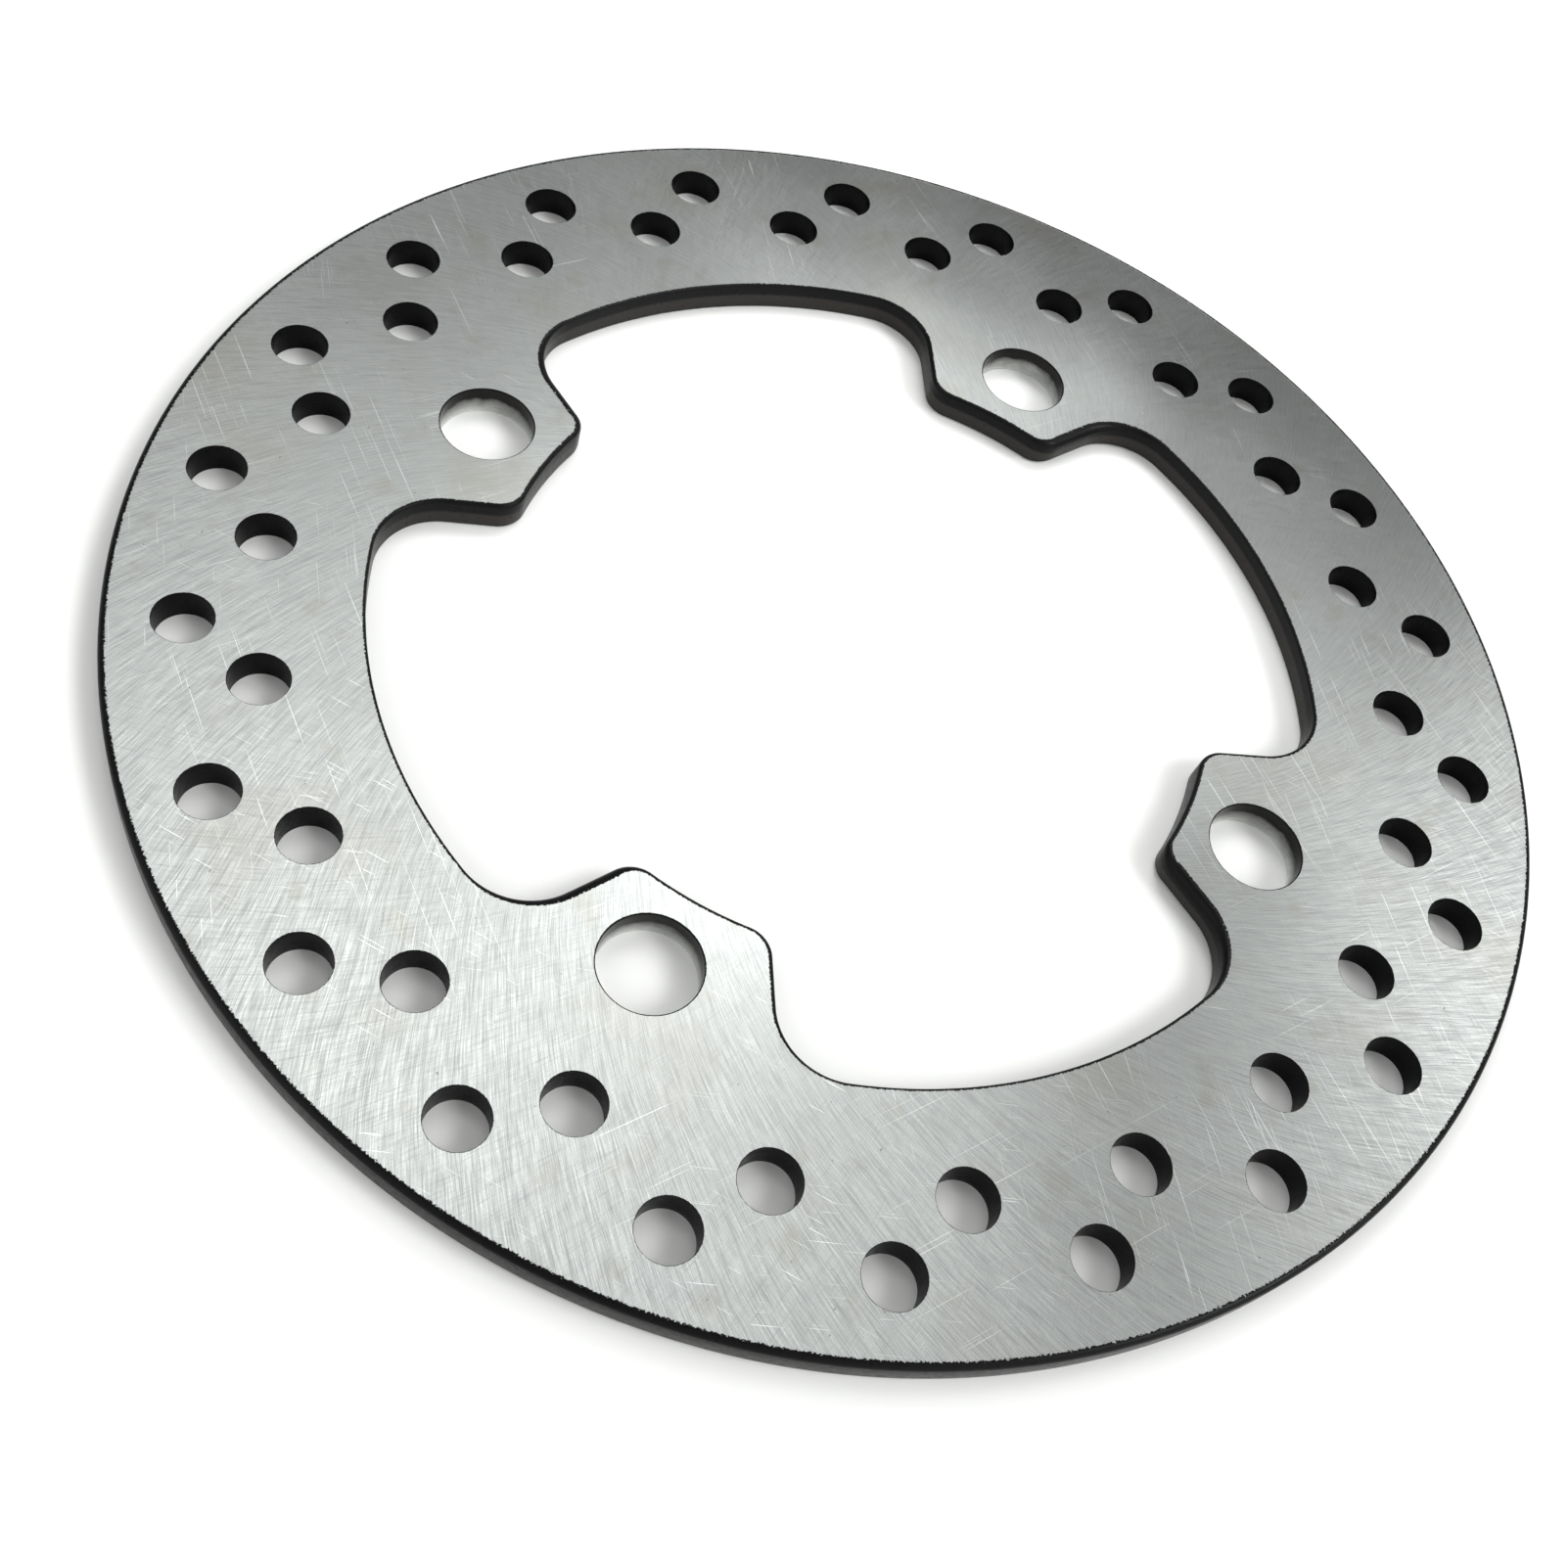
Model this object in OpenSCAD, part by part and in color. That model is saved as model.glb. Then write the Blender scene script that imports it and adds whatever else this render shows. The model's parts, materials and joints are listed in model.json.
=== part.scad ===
// One-piece motorcycle brake disc rotor: a flat drilled steel ring with four inward mounting lugs.
// Units are millimetres. Z = 0 is the hub-side face, +Z points to the outer face.

/* [Ring] */
// outside diameter
rotor_od = 220; // [212:1:250]
// plate thickness
rotor_t = 5; // [3.5:0.1:7]
// width of the 45 degree edge break around the rim and the lug tips
edge_break = 0.6; // [0.2:0.1:1]

/* [Opening] */
// diameter of the hub pilot circle that the four lug tips follow
pilot_d = 111; // [106:0.5:116]
// diameter of the pocket arcs between the lugs
pocket_d = 148.3; // [144:0.1:154]
// width of a lug across its flanks, taken at the pilot circle
lug_w = 22.7; // [20:0.1:28]
// angle of each lug flank from the lug's own centre line
flank_deg = 29.6; // [26:0.2:34]
// rounding of the two corners of a lug tip
tip_r = 4.6; // [3:0.1:6]
// rounding where a lug flank runs into a pocket arc
root_r = 10.4; // [8:0.2:13]
// turn of the whole opening against the bolt holes, counter-clockwise seen from +Z
lug_turn = 1; // [0:0.1:2]

/* [Bolt holes] */
// bolt circle diameter
bolt_pcd = 134.4; // [130:0.1:140]
// bolt hole diameter
bolt_hole_d = 14.6; // [8:0.1:16]

/* [Drilled holes] */
// diameter of each drilled hole
drill_d = 8.6; // [6:0.1:10]
// radius of the outer row
drill_outer_r = 98.9; // [96:0.1:101]
// radius of the inner row
drill_inner_r = 89.2; // [86:0.1:91]
// number of outer and inner hole pairs
drill_pairs = 22; // [18:1:22]
// angle of the first outer hole
drill_start = -123.78; // [-180:0.01:180]
// angle from an even pair to the next one
step_even = 16.54; // [15.5:0.01:16.54]
// angle from an odd pair to the next one
step_odd = 16.12; // [15.5:0.01:16.2]
// how far an inner hole leads its outer hole
inner_lead = 6.55; // [5:0.01:8]

/* [Hidden] */
$fn = 256;
bolt_fn = 96;
drill_fn = 64;
lug_count = 4;
// Angle of the first bolt hole.
first_bolt = 45;
// How far a cut runs past the surface it goes through.
cut = 1;
// The roundings run this far past the lines they meet, so that each crossing is a clean one.
blend = 0.01;
// Where the lugs end inside the ring's own steel.
lug_base_r = 85;
rim_r = rotor_od / 2;
pilot_r = pilot_d / 2;
pocket_r = pocket_d / 2;
pitch = 360 / lug_count;

// In a frame turned by flank_deg from the lug's centre line, the flank is the line y = flank_y.
flank_y = lug_w / 2 * cos(flank_deg) - pilot_r * sin(flank_deg);
tip_y = flank_y - tip_r;
tip_x = sqrt((pilot_r + tip_r) * (pilot_r + tip_r) - tip_y * tip_y);
root_y = flank_y + root_r;
root_x = sqrt((pocket_r - root_r) * (pocket_r - root_r) - root_y * root_y);

// Where a flank's line starts, inside the pilot circle.
flank_start = sqrt((pilot_r - cut) * (pilot_r - cut) - flank_y * flank_y);

function along(p, r) = r * p / norm(p);
function turned(p) = [p[0] * cos(flank_deg) - p[1] * sin(flank_deg),
    p[0] * sin(flank_deg) + p[1] * cos(flank_deg)];
function drill_angle(k) = drill_start + floor(k / 2) * (step_even + step_odd) + (k % 2) * step_even;

module at_lugs() {
    for (k = [0 : lug_count - 1])
        rotate(first_bolt + lug_turn + k * pitch)
            children();
}

module both_flanks() {
    rotate(flank_deg) children();
    mirror([0, 1, 0]) rotate(flank_deg) children();
}

// A flat outline, extruded past both faces of the plate.
module through() {
    translate([0, 0, -cut]) linear_extrude(rotor_t + 2 * cut) children();
}

// A lug with sharp corners: two flanks that start inside the pilot circle, and a base in the ring.
module lug() {
    side = [for (p = [[flank_start, flank_y], [root_x, flank_y], [root_x, root_y],
        along([root_x, root_y], pocket_r + cut)]) turned(p)];
    last = len(side) - 1;
    other_side = [for (i = [0 : last]) [side[last - i][0], -side[last - i][1]]];
    through() polygon(concat(side, [[lug_base_r, 0]], other_side));
}

// What is taken off a sharp tip corner to round it.
module tip_trim() {
    through()
        difference() {
            polygon([[tip_x, tip_y], along([tip_x, tip_y], pilot_r - cut), [flank_start, flank_y + cut],
                [tip_x, flank_y + cut]]);
            translate([tip_x, tip_y]) circle(tip_r + blend);
        }
}

// The ring and its lugs, with the roots rounded and the tips cut to the pilot circle.
module sharp_tipped_ring() {
    difference() {
        union() {
            difference() {
                through() circle(rim_r + cut);
                through() circle(pocket_r);
            }
            at_lugs() lug();
        }
        through() circle(pilot_r);
        at_lugs() both_flanks() through() translate([root_x, root_y]) circle(root_r + blend);
    }
}

module lugged_ring() {
    difference() {
        sharp_tipped_ring();
        at_lugs() both_flanks() tip_trim();
    }
}

// The edge break of the pilot circle, which only the four lug tips reach.
module pilot_break() {
    rotate_extrude()
        polygon([[pilot_r - cut, -edge_break - cut], [pilot_r - cut, cut],
            [pilot_r + edge_break + cut, cut]]);
}

module blank() {
    rotate_extrude()
        polygon([[0, 0], [rim_r - edge_break, 0], [rim_r, edge_break],
            [rim_r, rotor_t - edge_break], [rim_r - edge_break, rotor_t], [0, rotor_t]]);
}

module bolt_holes() {
    for (k = [0 : lug_count - 1])
        rotate(first_bolt + k * pitch)
            translate([bolt_pcd / 2, 0])
                through() circle(d = bolt_hole_d, $fn = bolt_fn);
}

module drilled_holes() {
    for (k = [0 : drill_pairs - 1]) {
        rotate(drill_angle(k))
            translate([drill_outer_r, 0])
                through() circle(d = drill_d, $fn = drill_fn);
        rotate(drill_angle(k) + inner_lead)
            translate([drill_inner_r, 0])
                through() circle(d = drill_d, $fn = drill_fn);
    }
}

module rotor_plate() {
    color([0.62, 0.64, 0.64])
        difference() {
            intersection() {
                blank();
                lugged_ring();
            }
            translate([0, 0, rotor_t]) pilot_break();
            mirror([0, 0, 1]) pilot_break();
            bolt_holes();
            drilled_holes();
        }
}

rotor_plate();
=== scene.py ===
"""Looks for a one-piece motorcycle brake disc rotor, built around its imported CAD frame."""

import json
import math

import bmesh
import bpy
import numpy as np
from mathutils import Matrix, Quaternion, Vector
from mathutils.geometry import delaunay_2d_cdt


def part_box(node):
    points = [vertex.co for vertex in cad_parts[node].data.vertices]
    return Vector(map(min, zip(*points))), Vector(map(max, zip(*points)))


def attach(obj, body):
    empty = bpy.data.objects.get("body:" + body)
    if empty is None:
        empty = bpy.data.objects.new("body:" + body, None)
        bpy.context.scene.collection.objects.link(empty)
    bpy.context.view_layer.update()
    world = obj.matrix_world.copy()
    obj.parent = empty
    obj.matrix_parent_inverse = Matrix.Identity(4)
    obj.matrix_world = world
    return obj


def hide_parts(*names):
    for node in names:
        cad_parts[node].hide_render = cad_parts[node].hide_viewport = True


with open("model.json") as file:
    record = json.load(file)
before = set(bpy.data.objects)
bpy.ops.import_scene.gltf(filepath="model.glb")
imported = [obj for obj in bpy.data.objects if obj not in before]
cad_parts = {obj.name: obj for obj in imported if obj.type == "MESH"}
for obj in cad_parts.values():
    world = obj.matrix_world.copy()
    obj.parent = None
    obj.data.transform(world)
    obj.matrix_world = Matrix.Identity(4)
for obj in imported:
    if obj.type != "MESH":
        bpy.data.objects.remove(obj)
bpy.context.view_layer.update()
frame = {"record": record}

MM = 0.001
NODE = "rotor_plate"
low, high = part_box(NODE)
mounts = {mount["name"]: mount for mount in frame["record"]["mounts"]}

# The plate, from the frame.
RIM_R = (high.x - low.x) / 2
THICK = high.z - low.z
BOLT_CIRCLE_R = mounts["hub_bolts"]["dims"]["pcd_mm"] / 2 * MM
BOLT_HOLE_R = mounts["hub_bolts"]["dims"]["hole_r_mm"] * MM
PILOT_R = mounts["hub_pilot"]["dims"]["r_mm"] * MM

# The opening.
LUGS = 4
FIRST_BOLT = math.radians(45)
LUG_TURN = math.radians(1)
POCKET_R = 74.15 * MM
LUG_W = 22.7 * MM
FLANK = math.radians(29.6)
TIP_R = 4.6 * MM
ROOT_R = 10.4 * MM

# The drilled holes.
DRILL_R = 4.3 * MM
DRILL_OUTER_R = 98.9 * MM
DRILL_INNER_R = 89.2 * MM
DRILL_PAIRS = 22
DRILL_START = math.radians(-123.78)
STEP_EVEN = math.radians(16.54)
STEP_ODD = math.radians(16.12)
INNER_LEAD = math.radians(6.55)

# Edge breaks, and how far the coating's ragged border may reach onto a face.
RIM_BREAK = 0.9 * MM
POCKET_BREAK = 0.4 * MM
TIP_BREAK = 0.6 * MM
NARROW_BREAK = 0.6 * MM
WIDE_BREAK = 1.5 * MM
DRILL_BREAK = 0.06 * MM
BOLT_BREAK = 0.18 * MM
RIM_FEATHER = 0.5 * MM
OPENING_FEATHER = 0.3 * MM
HOLE_FEATHER = 0.10 * MM
# Steps in the rounding of each edge break.
ROUND_STEPS = 6

# The blank was sheared: a wall is smooth and black down to SHEAR_TOP and torn and greyer below SHEAR_FOOT,
# the grey partly a painted reflection of the floor.
SHEAR_TOP = 1.9 * MM
SHEAR_FOOT = 2.5 * MM

# Values of the mesh's paint attribute; ground steel is 0.
BLACK = 1.0
# The torn lower wall, painted greyer: partly the torn steel, partly a painted reflection of the floor.
TORN_AND_REFLECTION = 2.0

# Angles at which the sanding strokes cross each radius.
FINE_SLANT = math.radians(40)
BROAD_SLANT = math.radians(37)
CROSS_SLANT = math.radians(-28)

# Stray scratches: heading in degrees from +X, length scale in millimetres, and rarity.
SCRATCHES = (
    (97, 17.0, 0.785),
    (84, 11.0, 0.79),
    (12, 17.0, 0.80),
    (-20, 8.0, 0.80),
    (-44, 6.0, 0.79),
)
# Width scale of a stray scratch, in millimetres.
SCRATCH_WIDTH = 0.12

# Light: the room's even level, its glow along the horizon, and the plain white that the camera
# sees past the floor.
ROOM_LEVEL = 0.16
HORIZON_GLOW = 0.55
BACKDROP = 1.05

# Bright patches of the room: azimuth, elevation and half-width in degrees, and gain.
PATCHES = (
    (150, 50, 36, 0.5),
    (185, 30, 40, 1.3),
    (270, 34, 40, 0.9),
    (-35, 45, 18, 11.0),
    (14, 45, 12, 4.5),
    (55, 72, 18, 2.3),
    (84, 62, 14, 2.6),
    (300, 14, 35, 1.0),
)

# The disc lamp: azimuth and elevation in degrees, distance and diameter in metres, and power in watts.
LAMP = (52, 54, 0.35, 0.18, 0.40)

FLOOR_HALF = 8.0
FLOOR_SUNK = 0.02 * MM

# Camera: where it stands, the point on the outer face that it looks at, and its roll.
CAMERA_AT = Vector((-0.10557, -0.13443, 0.20722))
CAMERA_AIM = Vector((-0.02498, -0.02367, 0.005))
CAMERA_ROLL = math.radians(21.9)
CAMERA_LENS = 39.54
CAMERA_SHIFT = (0.0174, 0.0006)


# ---------------------------------------------------------------- outlines

def outline(points, normals, breaks):
    """A closed outline: its points, the unit vectors into the steel there, and its edge break widths."""
    return {"points": np.array(points), "normals": np.array(normals), "breaks": np.array(breaks)}


def circle(centre, radius, count, width, steel_inside=False):
    """The outline of a round hole, or with steel_inside of the rim."""
    turn = np.linspace(0, 2 * math.pi, count, endpoint=False)
    out = np.c_[np.cos(turn), np.sin(turn)]
    return outline(np.array(centre) + radius * out, -out if steel_inside else out, np.full(count, width))


def polar(radius, angle):
    return radius * math.cos(angle), radius * math.sin(angle)


def arc(centre, radius, start, stop, count, steel_inside, widths):
    """Points, normals and edge breaks of an arc, without its last point."""
    part = np.linspace(0, 1, count, endpoint=False)
    turn = start + (stop - start) * part
    out = np.c_[np.cos(turn), np.sin(turn)]
    normals = -out if steel_inside else out
    return np.array(centre) + radius * out, normals, widths[0] + (widths[1] - widths[0]) * part


def turned(piece, angle):
    """A stretch of outline, turned about the axis."""
    points, normals, breaks = piece
    spin = np.array([[math.cos(angle), math.sin(angle)], [-math.sin(angle), math.cos(angle)]])
    return points @ spin, normals @ spin, breaks


def mirrored(piece):
    """The same stretch on the lug's other side, run the other way."""
    points, normals, breaks = piece
    flip = np.array([1, -1])
    return (points * flip)[::-1], (normals * flip)[::-1], breaks[::-1]


def half_lug(flank_break):
    """From the middle of a lug's tip, over its corner and down its flank, to the middle of the pocket."""
    flank_y = LUG_W / 2 * math.cos(FLANK) - PILOT_R * math.sin(FLANK)
    tip_y = flank_y - TIP_R
    tip_x = math.sqrt((PILOT_R + TIP_R) ** 2 - tip_y ** 2)
    root_y = flank_y + ROOT_R
    root_x = math.sqrt((POCKET_R - ROOT_R) ** 2 - root_y ** 2)
    tip_dir = math.atan2(tip_y, tip_x)
    root_dir = math.atan2(root_y, root_x)
    tip = arc((0, 0), PILOT_R, -FLANK, tip_dir, 16, False, (TIP_BREAK, TIP_BREAK))
    corner = arc((tip_x, tip_y), TIP_R, math.pi + tip_dir, math.pi / 2, 30, True, (TIP_BREAK, flank_break))
    part = np.linspace(0, 1, 14, endpoint=False)[:, None]
    flank = ((1 - part) * (tip_x, flank_y) + part * (root_x, flank_y),
             np.tile((0.0, -1.0), (len(part), 1)), np.full(len(part), flank_break))
    root = arc((root_x, root_y), ROOT_R, -math.pi / 2, root_dir, 34, False, (flank_break, POCKET_BREAK))
    middle = math.pi / LUGS - FLANK
    pocket = arc((0, 0), POCKET_R, root_dir, middle, 36, False, (POCKET_BREAK, POCKET_BREAK))
    pieces = [tip, corner, flank, root, pocket]
    return turned(tuple(np.concatenate(column) for column in zip(*pieces)), FLANK)


def opening_outline():
    """The central opening, with the narrow break on each lug's counter-clockwise flank."""
    half = half_lug(NARROW_BREAK)
    pocket_middle = polar(POCKET_R, math.pi / LUGS)
    other = mirrored(half_lug(WIDE_BREAK))
    before = (np.array([pocket_middle]) * (1, -1), np.array([pocket_middle]) * (1, -1) / POCKET_R,
              np.array([POCKET_BREAK]))
    lug = tuple(np.concatenate([a, b[:-1], c]) for a, b, c in zip(before, other, half))
    lugs = [turned(lug, FIRST_BOLT + LUG_TURN + k * 2 * math.pi / LUGS) for k in range(LUGS)]
    return outline(*(np.concatenate(column) for column in zip(*lugs)))


def drill_angle(k):
    """The angle of the outer hole of pair k; the pitch alternates."""
    return DRILL_START + (k // 2) * (STEP_EVEN + STEP_ODD) + (k % 2) * STEP_EVEN


def drilled_outlines():
    centres = []
    for k in range(DRILL_PAIRS):
        centres.append(polar(DRILL_OUTER_R, drill_angle(k)))
        centres.append(polar(DRILL_INNER_R, drill_angle(k) + INNER_LEAD))
    return [circle(centre, DRILL_R, 64, DRILL_BREAK) for centre in centres]


def bolt_outlines():
    centres = [polar(BOLT_CIRCLE_R, FIRST_BOLT + k * 2 * math.pi / LUGS) for k in range(LUGS)]
    return [circle(centre, BOLT_HOLE_R, 96, BOLT_BREAK) for centre in centres]


# ---------------------------------------------------------------- the plate's mesh

# Material slots of the plate.
GROUND, COATED, BORED = 0, 1, 2


def half_profile(line, feather, sheared):
    """Rings from a face down over its edge break: distance into the steel, depth, and paint.

    A sheared wall has two more rings, where it turns from smooth black to torn and greyer, the grey partly
    a painted reflection of the floor.
    """
    breaks = line["breaks"]
    rings = [(breaks + feather, 0.0 * breaks, 0.0)]
    for step in range(ROUND_STEPS + 1):
        bend = math.pi / 2 * step / ROUND_STEPS
        inset = breaks * (1 - math.sin(bend))
        depth = breaks * (1 - math.cos(bend))
        rings.append((inset, depth, min(BLACK, 0.5 + step / ROUND_STEPS)))
    if sheared:
        rings.append((0.0 * breaks, SHEAR_TOP + 0.0 * breaks, BLACK))
        rings.append((0.0 * breaks, SHEAR_FOOT + 0.0 * breaks, TORN_AND_REFLECTION))
    return rings


def full_profile(line, feather, sheared):
    """Rings from the outer face down to the hub-side face, with their heights."""
    upper = [(inset, THICK - depth, paint) for inset, depth, paint in half_profile(line, feather, sheared)]
    lower = [(inset, depth, paint) for inset, depth, paint in half_profile(line, feather, False)]
    if sheared:
        inset, depth, _ = lower[-1]
        lower[-1] = (inset, depth, TORN_AND_REFLECTION)
    return upper + lower[::-1]


def in_steel(places, spots, edges):
    """For each place, whether a ray from it along +X crosses the outlines an odd number of times."""
    start, stop = spots[edges[:, 0]], spots[edges[:, 1]]
    crossings = np.zeros(len(places), int)
    for (x0, y0), (x1, y1) in zip(start, stop):
        spans = (places[:, 1] < y0) != (places[:, 1] < y1)
        if y0 != y1:
            crossings += spans & (places[:, 0] < x0 + (places[:, 1] - y0) * (x1 - x0) / (y1 - y0))
    return crossings % 2 == 1


class PlateMesh:
    """Collects the plate's points and faces."""

    def __init__(self):
        self.points = []
        self.paint = []
        self.faces = []
        self.slots = []
        self.smooth = []
        self.top_rings = []

    def add_edge(self, line, feather, slot, sheared=False):
        """The wall of one outline with both of its edge breaks."""
        count = len(line["points"])
        rings = full_profile(line, feather, sheared)
        start = len(self.points)
        for inset, height, paint in rings:
            flat = line["points"] + line["normals"] * inset[:, None]
            self.points.extend(np.c_[flat, height].tolist())
            self.paint.extend([paint] * count)
        for row in range(len(rings) - 1):
            on_face = row in (0, len(rings) - 2)
            on_break = row <= ROUND_STEPS
            for i in range(count):
                j = (i + 1) % count
                a, b = start + row * count, start + (row + 1) * count
                finish = GROUND if on_face else COATED if on_break else slot
                self.add_face((a + i, a + j, b + j, b + i), finish, not on_face)
        self.top_rings.append((start, count, (len(rings) - 1) * count))

    def add_face(self, corners, slot, smooth):
        self.faces.append(corners)
        self.slots.append(slot)
        self.smooth.append(smooth)

    def fill_faces(self):
        """Fills both faces between the rings, with the same triangles."""
        flat, edges, top, down = [], [], [], []
        inside_only = 1
        for start, count, drop in self.top_rings:
            first = len(flat)
            flat.extend(Vector(self.points[start + i][:2]) for i in range(count))
            edges.extend((first + i, first + (i + 1) % count) for i in range(count))
            top.extend(range(start, start + count))
            down.extend(range(start + drop, start + drop + count))
        same_point = 1e-9
        made = delaunay_2d_cdt(flat, edges, [], inside_only, same_point)
        source = [origin[0] for origin in made[3]]
        triangles = np.array([[source[i] for i in triangle] for triangle in made[2]])
        spots = np.array(flat)
        for corners in triangles[in_steel(spots[triangles].mean(1), spots, np.array(edges))]:
            self.add_face([top[i] for i in corners], GROUND, False)
            self.add_face([down[i] for i in reversed(corners)], GROUND, False)

    def build(self, name, materials):
        mesh = bpy.data.meshes.new(name)
        mesh.from_pydata(self.points, [], self.faces)
        for material in materials:
            mesh.materials.append(material)
        mesh.polygons.foreach_set("material_index", self.slots)
        mesh.polygons.foreach_set("use_smooth", self.smooth)
        paint = mesh.attributes.new("paint", "FLOAT", "POINT")
        paint.data.foreach_set("value", self.paint)
        work = bmesh.new()
        work.from_mesh(mesh)
        bmesh.ops.recalc_face_normals(work, faces=work.faces)
        work.to_mesh(mesh)
        work.free()
        piece = bpy.data.objects.new(name, mesh)
        bpy.context.scene.collection.objects.link(piece)
        return piece


def make_rotor(materials):
    plate = PlateMesh()
    rim = circle((0, 0), RIM_R, 720, RIM_BREAK, steel_inside=True)
    plate.add_edge(rim, RIM_FEATHER, COATED, sheared=True)
    plate.add_edge(opening_outline(), OPENING_FEATHER, COATED, sheared=True)
    for line in drilled_outlines():
        plate.add_edge(line, HOLE_FEATHER, COATED)
    for line in bolt_outlines():
        plate.add_edge(line, HOLE_FEATHER, BORED)
    plate.fill_faces()
    return plate.build("rotor", materials)


# ---------------------------------------------------------------- material nodes

class Nodes:
    """Short calls for building a node tree."""

    def __init__(self, tree):
        self.tree = tree
        tree.nodes.clear()

    def make(self, kind, settings=None, **inputs):
        node = self.tree.nodes.new(kind)
        for key, value in (settings or {}).items():
            setattr(node, key, value)
        for key, value in inputs.items():
            self.feed(node.inputs[key.replace("_", " ")], value)
        return node

    def feed(self, socket, value):
        if isinstance(value, bpy.types.NodeSocket):
            self.tree.links.new(value, socket)
        else:
            socket.default_value = value

    def math(self, operation, *values):
        node = self.make("ShaderNodeMath", {"operation": operation})
        for socket, value in zip(node.inputs, values):
            self.feed(socket, value)
        return node.outputs[0]

    def vector(self, operation, *values, scale=None, output=0):
        node = self.make("ShaderNodeVectorMath", {"operation": operation})
        for socket, value in zip(node.inputs, values):
            self.feed(socket, value)
        if scale is not None:
            self.feed(node.inputs["Scale"], scale)
        return node.outputs[output]

    def ramp(self, value, low_in, high_in, low_out=0.0, high_out=1.0):
        node = self.make("ShaderNodeMapRange", {"clamp": True})
        for socket, item in zip(node.inputs, (value, low_in, high_in, low_out, high_out)):
            self.feed(socket, item)
        return node.outputs[0]

    def noise(self, vector, scale, detail=2.0, roughness=0.5):
        node = self.make("ShaderNodeTexNoise", {}, Vector=vector, Scale=scale, Detail=detail,
                         Roughness=roughness)
        return node.outputs["Fac"]

    def mix(self, amount, first, second):
        """Mixes two colours."""
        node = self.make("ShaderNodeMix", {"data_type": "RGBA"})
        self.feed(node.inputs["Factor"], amount)
        self.feed(node.inputs[6], first)
        self.feed(node.inputs[7], second)
        return node.outputs[2]

    def blend(self, amount, first, second):
        """Mixes two numbers."""
        node = self.make("ShaderNodeMix", {"data_type": "FLOAT"})
        self.feed(node.inputs["Factor"], amount)
        self.feed(node.inputs[2], first)
        self.feed(node.inputs[3], second)
        return node.outputs[0]

    def place(self):
        """The surface point in millimetres, in the rotor's own frame."""
        spot = self.make("ShaderNodeTexCoord").outputs["Object"]
        return self.vector("SCALE", spot, scale=1 / MM)

    def split(self, vector):
        return self.make("ShaderNodeSeparateXYZ", {}, Vector=vector).outputs

    def join(self, x, y, z):
        return self.make("ShaderNodeCombineXYZ", {}, X=x, Y=y, Z=z).outputs[0]


def new_material(name):
    material = bpy.data.materials.new(name)
    material.use_nodes = True
    return material, Nodes(material.node_tree)


def finish_material(nodes, shader):
    output = nodes.make("ShaderNodeOutputMaterial")
    nodes.tree.links.new(shader.outputs[0], output.inputs["Surface"])


def spiral(nodes, spot, slant, wander):
    """The spot's turn about the axis along a spiral that crosses each radius at the angle slant."""
    x, y, z = nodes.split(spot)
    flat = nodes.join(x, y, 0.0)
    radius = nodes.vector("LENGTH", flat, output=1)
    bent = nodes.math("MULTIPLY", nodes.math("LOGARITHM", radius, math.e), -math.tan(slant))
    angle = nodes.math("ADD", bent, wander)
    turn = nodes.make("ShaderNodeVectorRotate", {"rotation_type": "Z_AXIS"}, Vector=flat, Angle=angle)
    return nodes.vector("NORMALIZE", turn.outputs[0]), radius


def strokes(nodes, spot, slant, across, along, seed, wander):
    """Sanding strokes: noise drawn out along a spiral, across and along in millimetres."""
    turn, radius = spiral(nodes, spot, slant, wander)
    middle_r = 90.0
    spread = nodes.vector("SCALE", turn, scale=middle_r * math.cos(slant) / across)
    lift = nodes.join(0.0, 0.0, nodes.math("MULTIPLY_ADD", radius, 1 / along, seed))
    return nodes.noise(nodes.vector("ADD", spread, lift), 1.0, 2.0, 0.55)


def scratches(nodes, spot, heading, across, along, seed, rarity):
    """Single straight scratches: 1 on a scratch, 0 elsewhere."""
    turn = nodes.make("ShaderNodeVectorRotate", {"rotation_type": "Z_AXIS"}, Vector=spot, Angle=-heading)
    shape = nodes.vector("MULTIPLY", turn.outputs[0], (1 / along, 1 / across, 0.0))
    place = nodes.vector("ADD", shape, (seed, seed * 0.7, seed * 0.3))
    return nodes.ramp(nodes.noise(place, 1.0, 0.0), rarity, rarity + 0.04)


def scratch_layers(nodes, spot):
    """Stray scratches in a few directions, gathered in patches."""
    found = 0.0
    for number, (angle, length, rarity) in enumerate(SCRATCHES):
        shifted = nodes.vector("ADD", spot, (31.0 * number, 0.0, 0.0))
        patch = nodes.ramp(nodes.noise(shifted, 0.028, 1.0), 0.50, 0.64)
        seed = 5.0 + 7.0 * number
        line = scratches(nodes, spot, math.radians(angle), SCRATCH_WIDTH, length, seed, rarity)
        found = nodes.math("MAXIMUM", found, nodes.math("MULTIPLY", line, patch))
    return found


def stroke_tangent(nodes, spot, slant, swing):
    """The direction across the strokes, which spreads the highlights."""
    x, y, z = nodes.split(spot)
    radial = nodes.vector("NORMALIZE", nodes.join(x, y, 0.0))
    angle = nodes.math("ADD", swing, math.pi / 2 + slant)
    turn = nodes.make("ShaderNodeVectorRotate", {"rotation_type": "Z_AXIS"}, Vector=radial, Angle=angle)
    return turn.outputs[0]


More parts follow.
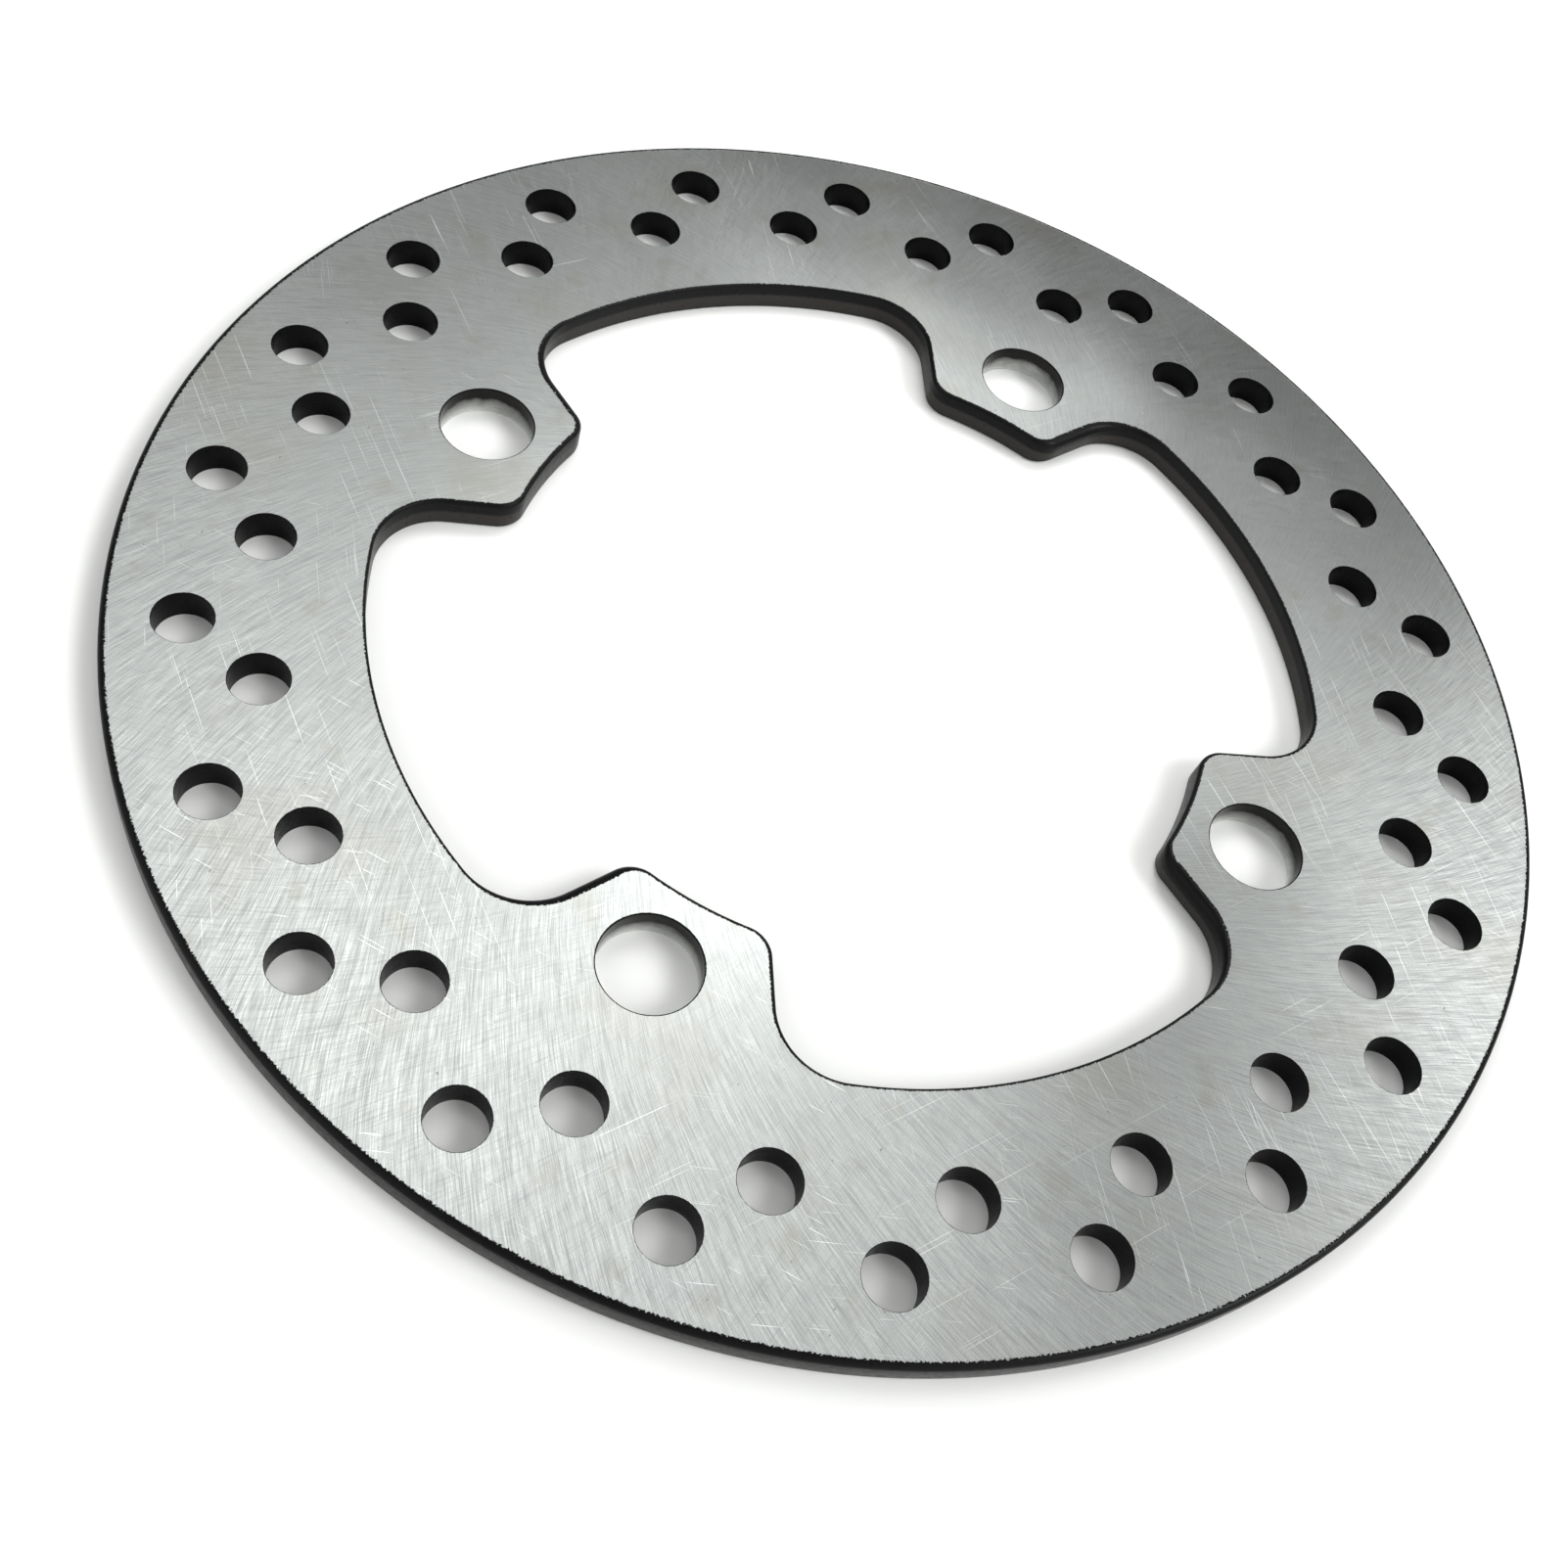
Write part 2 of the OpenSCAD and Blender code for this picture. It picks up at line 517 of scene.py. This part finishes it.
def coating_amount(nodes, spot):
    """How much coating lies here, with a ragged border on the ground steel, and how much of it is torn and
    painted greyer, partly as a painted reflection of the floor.
    """
    paint = nodes.make("ShaderNodeAttribute", {"attribute_name": "paint"}).outputs["Fac"]
    ragged = nodes.noise(spot, 2.6, 3.0, 0.7)
    pushed = nodes.math("MULTIPLY_ADD", nodes.math("SUBTRACT", ragged, 0.5), 1.1, paint)
    torn_and_reflection_edge = nodes.math("MULTIPLY_ADD", nodes.math("SUBTRACT", ragged, 0.5), 0.9, paint)
    return nodes.ramp(pushed, 0.38, 0.44), nodes.ramp(torn_and_reflection_edge, 1.15, 1.85)


def ground_colour(nodes, spot, fine, cross, grain, scratch_lines_painted_glint):
    """Steel with a faint green cast, lighter and darker strokes, brown tints, a few dark pits, and stray
    scratches painted pale, their paleness partly a painted highlight.
    """
    steel, dull, tint = (0.465, 0.485, 0.475, 1), (0.29, 0.303, 0.296, 1), (0.30, 0.292, 0.255, 1)
    scratch_pale_painted_glint = (0.84, 0.87, 0.86, 1)
    base = nodes.mix(nodes.ramp(fine, 0.36, 0.64), dull, steel)
    base = nodes.mix(nodes.ramp(cross, 0.52, 0.72, 0.0, 0.5), base, dull)
    base = nodes.mix(nodes.ramp(grain, 0.35, 0.75, 0.0, 0.35), base, dull)
    cloud = nodes.ramp(nodes.noise(spot, 0.05, 3.0), 0.52, 0.75, 0.0, 0.45)
    base = nodes.mix(cloud, base, tint)
    stain = nodes.ramp(nodes.noise(spot, 0.16, 2.0), 0.60, 0.74, 0.0, 0.4)
    base = nodes.mix(stain, base, tint)
    # The stray scratches are real marks, but their pale colour is partly a painted highlight standing in
    # for their glint.
    base = nodes.mix(scratch_lines_painted_glint, base, scratch_pale_painted_glint)
    pits = nodes.ramp(nodes.noise(spot, 1.3, 1.0), 0.79, 0.82, 0.0, 0.8)
    return nodes.mix(pits, base, (0.16, 0.16, 0.15, 1))


def plate_material(name, roughness, anisotropy):
    """Ground steel and black coating, one giving way to the other at the edge breaks."""
    material, nodes = new_material(name)
    spot = nodes.place()
    drift = nodes.noise(spot, 0.018, 2.0)
    swing = nodes.math("MULTIPLY", nodes.math("SUBTRACT", drift, 0.5), 1.6)
    wander = nodes.math("MULTIPLY", nodes.math("SUBTRACT", nodes.noise(spot, 0.03, 1.0), 0.5), 0.05)
    fine = strokes(nodes, spot, FINE_SLANT, 0.12, 3.5, 3.0, wander)
    broad = strokes(nodes, spot, BROAD_SLANT, 0.40, 8.0, 9.0, wander)
    cross = strokes(nodes, spot, CROSS_SLANT, 0.13, 4.0, 17.0, wander)
    grain = nodes.noise(spot, 4.0, 1.0)
    fine = nodes.math("ADD", nodes.math("MULTIPLY", fine, 0.82), nodes.math("MULTIPLY", broad, 0.18))
    # The stray scratches, which are painted pale: real scratches with a partly painted highlight.
    bright = scratch_layers(nodes, spot)
    coat, torn_and_painted_reflection = coating_amount(nodes, spot)
    ground = ground_colour(nodes, spot, fine, cross, grain, nodes.math("MULTIPLY", bright, 0.9))
    # The torn lower wall's grey is partly the torn steel and partly a painted reflection of the floor.
    smooth_black, torn_grey_and_painted_reflection = (0.004, 0.004, 0.0045, 1), (0.027, 0.025, 0.023, 1)
    black = nodes.mix(torn_and_painted_reflection, smooth_black, torn_grey_and_painted_reflection)
    colour = nodes.mix(coat, ground, black)
    peel = nodes.noise(spot, 1.1, 2.0)
    rough = nodes.math("ADD", nodes.ramp(fine, 0.3, 0.7, roughness + 0.05, roughness - 0.05),
                       nodes.ramp(cross, 0.4, 0.7, -0.03, 0.05))
    rough = nodes.blend(coat, rough, nodes.ramp(peel, 0.3, 0.7, 0.26, 0.38))
    weave = nodes.math("ADD", nodes.math("MULTIPLY", cross, 0.5), nodes.math("MULTIPLY", grain, 0.5))
    height = nodes.blend(coat, nodes.math("ADD", fine, weave), peel)
    depth = nodes.blend(coat, 0.0022 * MM, 0.02 * MM)
    bump = nodes.make("ShaderNodeBump", {}, Strength=1.0, Distance=1.0,
                      Height=nodes.math("MULTIPLY", height, depth))
    shader = nodes.make("ShaderNodeBsdfPrincipled", {}, Base_Color=colour, Roughness=rough,
                        Metallic=nodes.math("SUBTRACT", 1.0, coat), Anisotropic=anisotropy,
                        Specular_IOR_Level=0.08, Normal=bump.outputs[0],
                        Tangent=stroke_tangent(nodes, spot, FINE_SLANT, swing))
    finish_material(nodes, shader)
    return material


def bored_material():
    """Bare machined bolt-hole walls with fine turning rings, and painted shade darkening them toward the
    outer face.
    """
    material, nodes = new_material("bored_steel")
    spot = nodes.place()
    x, y, z = nodes.split(spot)
    around = nodes.join(nodes.math("MULTIPLY", x, 0.35), nodes.math("MULTIPLY", y, 0.35),
                        nodes.math("MULTIPLY", z, 7.0))
    rings = nodes.noise(around, 1.0, 3.0, 0.6)
    bare, bright, painted_shade_dark = (0.72, 0.73, 0.71, 1), (0.82, 0.83, 0.81, 1), (0.018, 0.018, 0.017, 1)
    colour = nodes.mix(nodes.ramp(rings, 0.35, 0.65), bare, bright)
    # Painted shade: the wall is painted black toward the outer face, where it mirrors the shaded floor of
    # the hole.
    upper_wall_painted_shade = nodes.math("MULTIPLY_ADD", nodes.math("SUBTRACT", nodes.noise(spot, 0.5, 2.0), 0.5), 1.2, z)
    colour = nodes.mix(nodes.ramp(upper_wall_painted_shade, 0.0, 3.0), colour, painted_shade_dark)
    bump = nodes.make("ShaderNodeBump", {}, Strength=1.0, Distance=1.0,
                      Height=nodes.math("MULTIPLY", rings, 0.004 * MM))
    shader = nodes.make("ShaderNodeBsdfPrincipled", {}, Base_Color=colour, Metallic=1.0,
                        Roughness=nodes.ramp(rings, 0.3, 0.7, 0.22, 0.32), Normal=bump.outputs[0])
    finish_material(nodes, shader)
    return material


def floor_material():
    """Matt white paper with a very faint unevenness."""
    material, nodes = new_material("white_paper")
    spot = nodes.place()
    shade = nodes.ramp(nodes.noise(spot, 0.02, 2.0), 0.3, 0.7)
    colour = nodes.mix(shade, (0.855, 0.865, 0.85, 1), (0.875, 0.885, 0.872, 1))
    shader = nodes.make("ShaderNodeBsdfPrincipled", {}, Base_Color=colour, Roughness=0.9)
    shader.inputs["Specular IOR Level"].default_value = 0.1
    finish_material(nodes, shader)
    return material


# ---------------------------------------------------------------- stage

def heading(azimuth, elevation):
    """A unit vector: azimuth counter-clockwise from +X, both in degrees."""
    a, e = math.radians(azimuth), math.radians(elevation)
    return Vector((math.cos(a) * math.cos(e), math.sin(a) * math.cos(e), math.sin(e)))


def make_world(base, horizon, patches):
    """A soft room: an even level of light, a glow along the horizon, and broad bright patches.

    The backdrop itself is seen as plain white.
    """
    world = bpy.data.worlds.new("studio")
    bpy.context.scene.world = world
    world.use_nodes = True
    nodes = Nodes(world.node_tree)
    look = nodes.vector("NORMALIZE", nodes.make("ShaderNodeTexCoord").outputs["Generated"])
    height = nodes.split(look)[2]
    level = nodes.ramp(height, 0.15, 0.45, base + horizon, base)
    for azimuth, elevation, width, gain in patches:
        towards = nodes.vector("DOT_PRODUCT", look, tuple(heading(azimuth, elevation)), output=1)
        edge = math.cos(math.radians(width))
        shape = nodes.make("ShaderNodeMapRange", {"interpolation_type": "SMOOTHSTEP"})
        for socket, item in zip(shape.inputs, (towards, edge, 1.0, 0.0, gain)):
            nodes.feed(socket, item)
        level = nodes.math("ADD", level, shape.outputs[0])
    seen = nodes.make("ShaderNodeLightPath").outputs["Is Camera Ray"]
    level = nodes.blend(seen, level, BACKDROP)
    sky = nodes.make("ShaderNodeBackground", {}, Color=(1.0, 1.0, 0.995, 1), Strength=level)
    output = nodes.make("ShaderNodeOutputWorld")
    nodes.tree.links.new(sky.outputs[0], output.inputs["Surface"])


def area_light(name, azimuth, elevation, distance, size, power):
    """A disc lamp that faces the origin."""
    data = bpy.data.lights.new(name, "AREA")
    data.shape = "DISK"
    data.size = size
    data.energy = power
    light = bpy.data.objects.new(name, data)
    light.location = heading(azimuth, elevation) * distance
    light.rotation_mode = "QUATERNION"
    light.rotation_quaternion = light.location.to_track_quat("Z", "Y")
    bpy.context.scene.collection.objects.link(light)


def make_floor():
    mesh = bpy.data.meshes.new("floor")
    half = FLOOR_HALF
    corners = [(-half, -half), (half, -half), (half, half), (-half, half)]
    mesh.from_pydata([(x, y, low.z - FLOOR_SUNK) for x, y in corners], [], [(0, 1, 2, 3)])
    mesh.materials.append(floor_material())
    floor = bpy.data.objects.new("floor", mesh)
    bpy.context.scene.collection.objects.link(floor)


def make_camera():
    data = bpy.data.cameras.new("camera")
    data.lens = CAMERA_LENS
    data.shift_x, data.shift_y = CAMERA_SHIFT
    data.clip_start = 0.01
    camera = bpy.data.objects.new("camera", data)
    camera.location = CAMERA_AT
    camera.rotation_mode = "QUATERNION"
    level_view = (CAMERA_AIM - CAMERA_AT).to_track_quat("-Z", "Y")
    camera.rotation_quaternion = level_view @ Quaternion((0, 0, 1), CAMERA_ROLL)
    bpy.context.scene.collection.objects.link(camera)
    bpy.context.scene.camera = camera


# ---------------------------------------------------------------- the scene

make_camera()
bpy.context.scene.view_settings.view_transform = "Standard"
make_world(ROOM_LEVEL, HORIZON_GLOW, PATCHES)
area_light("lamp", *LAMP)
make_floor()

materials = [plate_material("ground_steel", 0.34, 0.6), plate_material("black_coating", 0.34, 0.0),
             bored_material()]
rotor = make_rotor(materials)
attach(rotor, "root")
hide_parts(NODE)
